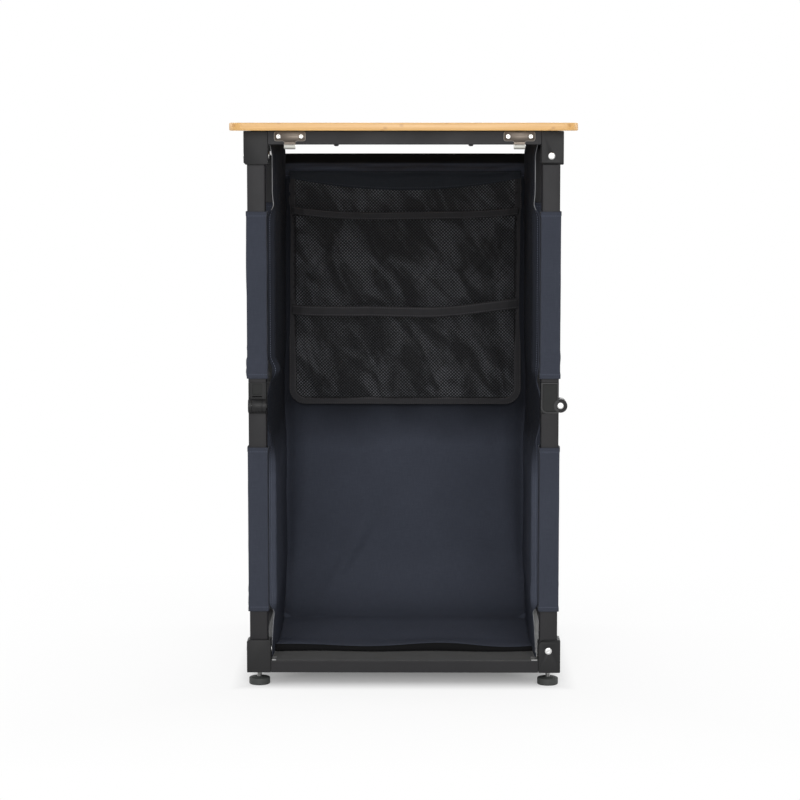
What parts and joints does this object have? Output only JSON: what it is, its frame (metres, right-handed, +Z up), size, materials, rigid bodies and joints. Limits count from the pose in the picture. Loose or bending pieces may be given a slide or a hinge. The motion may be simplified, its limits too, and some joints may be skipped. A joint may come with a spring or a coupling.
{
  "type": "folding camping cabinet",
  "caption": "Square folding camp cabinet with a bamboo top, a metal frame on knee-jointed legs that fold like a pinwheel, and an open-fronted cloth body with a mesh organiser",
  "frame": {"origin": "on the floor, under the middle of the cabinet", "axes": "+Z up, -Y out of the open front, +X to the right of someone looking in at the front"},
  "size_m": [0.48, 0.48, 0.79],
  "materials": {
    "bamboo": "clear satin lacquer over laminated bamboo strips",
    "black_metal": "matt black powder coat",
    "black_plastic": "fine matt moulded surface",
    "steel": "plain bright steel pin heads",
    "satin_plate": "warm satin nickel",
    "shelf_board": "black laminated board, slightly glossy",
    "navy_cloth": "dark navy coated polyester weave",
    "black_mesh": "black diamond mesh with a woven binding",
    "foot_rubber": "dark grey, matt"
  },
  "bodies": {
    "base": {"base_rail_front": "black_metal", "base_rail_right": "black_metal", "base_rail_rear": "black_metal", "base_rail_left": "black_metal", "base_corner_fr": "black_plastic", "base_corner_rr": "black_plastic", "base_corner_rl": "black_plastic", "base_corner_fl": "black_plastic", "base_pivot_pin_fr": "steel", "base_pivot_pin_rr": "steel", "base_pivot_pin_rl": "steel", "base_pivot_pin_fl": "steel", "base_shelf": "shelf_board", "side_wall_left": "navy_cloth", "side_wall_right": "navy_cloth", "rear_wall": "navy_cloth", "organiser": "black_mesh"},
    "lower_leg_fr": {"lower_leg_tube_fr": "black_metal", "lower_sleeve_fr": "navy_cloth", "knee_lower_fitting_fr": "black_plastic"},
    "lower_leg_rr": {"lower_leg_tube_rr": "black_metal", "lower_sleeve_rr": "navy_cloth", "knee_lower_fitting_rr": "black_plastic"},
    "lower_leg_rl": {"lower_leg_tube_rl": "black_metal", "lower_sleeve_rl": "navy_cloth", "knee_lower_fitting_rl": "black_plastic"},
    "lower_leg_fl": {"lower_leg_tube_fl": "black_metal", "lower_sleeve_fl": "navy_cloth", "knee_lower_fitting_fl": "black_plastic"},
    "upper_leg_fr": {"upper_leg_tube_fr": "black_metal", "upper_sleeve_fr": "navy_cloth", "knee_upper_fitting_fr": "black_plastic"},
    "upper_leg_rr": {"upper_leg_tube_rr": "black_metal", "upper_sleeve_rr": "navy_cloth", "knee_upper_fitting_rr": "black_plastic"},
    "upper_leg_rl": {"upper_leg_tube_rl": "black_metal", "upper_sleeve_rl": "navy_cloth", "knee_upper_fitting_rl": "black_plastic"},
    "upper_leg_fl": {"upper_leg_tube_fl": "black_metal", "upper_sleeve_fl": "navy_cloth", "knee_upper_fitting_fl": "black_plastic"},
    "top_frame": {"tabletop": "bamboo", "top_rail_front": "black_metal", "top_rail_right": "black_metal", "top_rail_rear": "black_metal", "top_rail_left": "black_metal", "top_corner_fr": "black_plastic", "top_corner_rr": "black_plastic", "top_corner_rl": "black_plastic", "top_corner_fl": "black_plastic", "top_pivot_pin_fr": "steel", "top_pivot_pin_rr": "steel", "top_pivot_pin_rl": "steel", "top_pivot_pin_fl": "steel", "hook_plate_left": "satin_plate", "hook_plate_right": "satin_plate"},
    "foot_fr": {"foot_fr": "foot_rubber"},
    "foot_rr": {"foot_rr": "foot_rubber"},
    "foot_rl": {"foot_rl": "foot_rubber"},
    "foot_fl": {"foot_fl": "foot_rubber"}
  },
  "joints": [
    {"name": "base_fold_fr", "type": "hinge", "parent": "base", "child": "lower_leg_fr", "pos_m": [0.204, -0.204, 0.0504], "axis": [0, -1, 0], "range_deg": [0, 90], "deforming": ["side_wall_left", "side_wall_right", "rear_wall", "organiser"]},
    {"name": "base_fold_rr", "type": "hinge", "parent": "base", "child": "lower_leg_rr", "pos_m": [0.204, 0.204, 0.0504], "axis": [1, 0, 0], "range_deg": [0, 90]},
    {"name": "base_fold_rl", "type": "hinge", "parent": "base", "child": "lower_leg_rl", "pos_m": [-0.204, 0.204, 0.0504], "axis": [0, 1, 0], "range_deg": [0, 90]},
    {"name": "base_fold_fl", "type": "hinge", "parent": "base", "child": "lower_leg_fl", "pos_m": [-0.204, -0.204, 0.0504], "axis": [-1, 0, 0], "range_deg": [0, 90]},
    {"name": "knee_fr", "type": "hinge", "parent": "lower_leg_fr", "child": "upper_leg_fr", "pos_m": [0.219, -0.204, 0.3974], "axis": [0, 1, 0], "range_deg": [0, 180]},
    {"name": "knee_rr", "type": "hinge", "parent": "lower_leg_rr", "child": "upper_leg_rr", "pos_m": [0.204, 0.219, 0.3974], "axis": [-1, 0, 0], "range_deg": [0, 180]},
    {"name": "knee_rl", "type": "hinge", "parent": "lower_leg_rl", "child": "upper_leg_rl", "pos_m": [-0.219, 0.204, 0.3974], "axis": [0, -1, 0], "range_deg": [0, 180]},
    {"name": "knee_fl", "type": "hinge", "parent": "lower_leg_fl", "child": "upper_leg_fl", "pos_m": [-0.204, -0.219, 0.3974], "axis": [1, 0, 0], "range_deg": [0, 180]},
    {"name": "top_fold", "type": "hinge", "parent": "upper_leg_fr", "child": "top_frame", "pos_m": [0.204, -0.204, 0.7444], "axis": [0, -1, 0], "range_deg": [0, 90]},
    {"name": "foot_height_fr", "type": "slide", "parent": "base", "child": "foot_fr", "axis": [0, 0, 1], "range_m": [-0.0045, 0.0045]},
    {"name": "foot_height_rr", "type": "slide", "parent": "base", "child": "foot_rr", "axis": [0, 0, 1], "range_m": [-0.0045, 0.0045]},
    {"name": "foot_height_rl", "type": "slide", "parent": "base", "child": "foot_rl", "axis": [0, 0, 1], "range_m": [-0.0045, 0.0045]},
    {"name": "foot_height_fl", "type": "slide", "parent": "base", "child": "foot_fl", "axis": [0, 0, 1], "range_m": [-0.0045, 0.0045]}
  ],
  "couplings": [
    {"joint": "base_fold_rr", "follows": "base_fold_fr", "ratio": 1},
    {"joint": "base_fold_rl", "follows": "base_fold_fr", "ratio": 1},
    {"joint": "base_fold_fl", "follows": "base_fold_fr", "ratio": 1},
    {"joint": "knee_fr", "follows": "base_fold_fr", "ratio": 2},
    {"joint": "knee_rr", "follows": "base_fold_fr", "ratio": 2},
    {"joint": "knee_rl", "follows": "base_fold_fr", "ratio": 2},
    {"joint": "knee_fl", "follows": "base_fold_fr", "ratio": 2},
    {"joint": "top_fold", "follows": "base_fold_fr", "ratio": 1}
  ]
}
